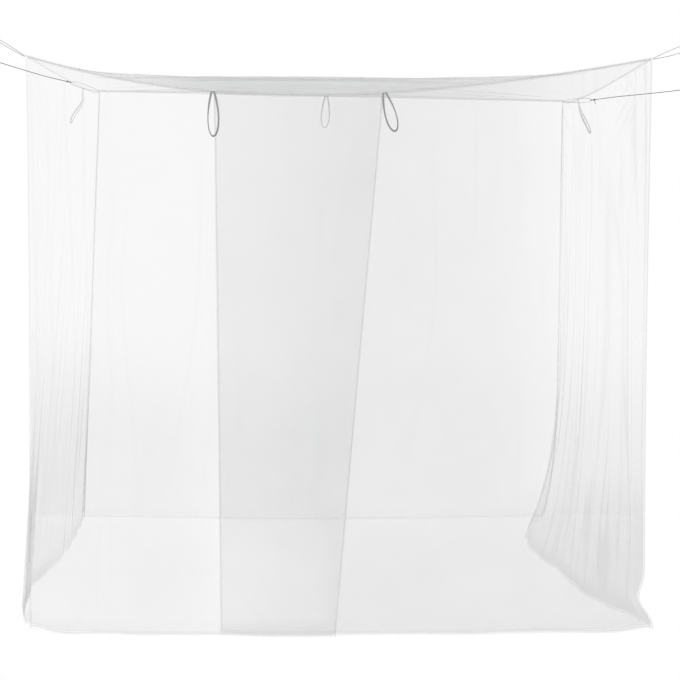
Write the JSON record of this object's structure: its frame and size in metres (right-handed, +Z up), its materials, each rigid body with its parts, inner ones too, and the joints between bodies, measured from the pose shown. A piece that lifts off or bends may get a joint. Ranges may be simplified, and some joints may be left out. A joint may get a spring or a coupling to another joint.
{
  "type": "mosquito net tent",
  "caption": "Box-shaped mosquito net of sheer white netting, hung by knotted cords at its roof corners, with an overlapped front entrance and hanging tape loops",
  "frame": {"origin": "middle of the roof's corners, level with them, where the cords hold the net", "axes": "+X to the right along the front, +Y from the front entrance to the rear wall, +Z up"},
  "size_m": [3.1689, 1.8799, 2.0523],
  "materials": {
    "netting": "sheer knitted polyester mesh",
    "tape": "matt woven polyester tape",
    "cord": "matt braided cord"
  },
  "bodies": {
    "root": {"roof_net": "netting", "rear_wall_net": "netting", "left_wall_net": "netting", "right_wall_net": "netting", "outer_panel_net": "netting", "inner_panel_net": "netting", "front_edge_tape": "tape", "rear_edge_tape": "tape", "left_edge_tape": "tape", "right_edge_tape": "tape", "front_left_seam": "tape", "front_right_seam": "tape", "rear_left_seam": "tape", "rear_right_seam": "tape", "rear_hem": "tape", "left_hem": "tape", "right_hem": "tape", "outer_panel_hem": "tape", "inner_panel_hem": "tape", "outer_panel_facing": "tape", "inner_panel_facing": "tape", "front_left_corner_loop": "tape", "front_right_corner_loop": "tape", "rear_left_corner_loop": "tape", "rear_right_corner_loop": "tape", "front_left_cord": "cord", "front_right_cord": "cord", "rear_left_cord": "cord", "rear_right_cord": "cord", "front_left_cord_knot": "cord", "front_right_cord_knot": "cord", "rear_left_cord_knot": "cord", "rear_right_cord_knot": "cord", "front_left_cord_end_loop": "cord", "front_right_cord_end_loop": "cord", "rear_left_cord_end_loop": "cord", "rear_right_cord_end_loop": "cord"},
    "outer_flap": {"outer_flap_net": "netting", "outer_flap_facing": "tape", "outer_flap_hem": "tape"},
    "inner_flap": {"inner_flap_net": "netting", "inner_flap_facing": "tape", "inner_flap_hem": "tape"},
    "front_left_tie_loop": {"front_left_tie_loop": "tape"},
    "front_right_tie_loop": {"front_right_tie_loop": "tape"},
    "rear_tie_loop": {"rear_tie_loop": "tape"},
    "left_tie_loop": {"left_tie_loop": "tape"},
    "right_tie_loop": {"right_tie_loop": "tape"}
  },
  "joints": [
    {"name": "outer_flap_fold", "type": "hinge", "parent": "root", "child": "outer_flap", "pos_m": [-0.84003, -0.90285, -1.86991], "axis": [-0.5403, -0.0726, -0.8384], "range_deg": [0, 115]},
    {"name": "inner_flap_fold", "type": "hinge", "parent": "root", "child": "inner_flap", "pos_m": [0.83999, -0.88684, -1.87007], "axis": [0.6308, -0.063, -0.7734], "range_deg": [0, 105]},
    {"name": "front_left_tie_loop_swing", "type": "hinge", "parent": "root", "child": "front_left_tie_loop", "pos_m": [-0.4, -0.76023, -0.10305], "axis": [-0.9958, -0.0408, 0.0815], "range_deg": [0, 150]},
    {"name": "front_right_tie_loop_swing", "type": "hinge", "parent": "root", "child": "front_right_tie_loop", "pos_m": [0.158, -0.75355, -0.1061], "axis": [-0.9982, 0.0146, -0.0573], "range_deg": [0, 150]},
    {"name": "rear_tie_loop_swing", "type": "hinge", "parent": "root", "child": "rear_tie_loop", "pos_m": [-0.04118, 0.74195, -0.00076], "axis": [0.9998, -0.0024, -0.0215], "range_deg": [0, 150]},
    {"name": "left_tie_loop_swing", "type": "hinge", "parent": "root", "child": "left_tie_loop", "pos_m": [-0.95679, 0, -0.0309], "axis": [-0.025, 0.9996, 0.0129], "range_deg": [0, 150]},
    {"name": "right_tie_loop_swing", "type": "hinge", "parent": "root", "child": "right_tie_loop", "pos_m": [0.9465, 0.16, -0.06072], "axis": [-0.0125, -0.9998, -0.0156], "range_deg": [0, 150]}
  ]
}
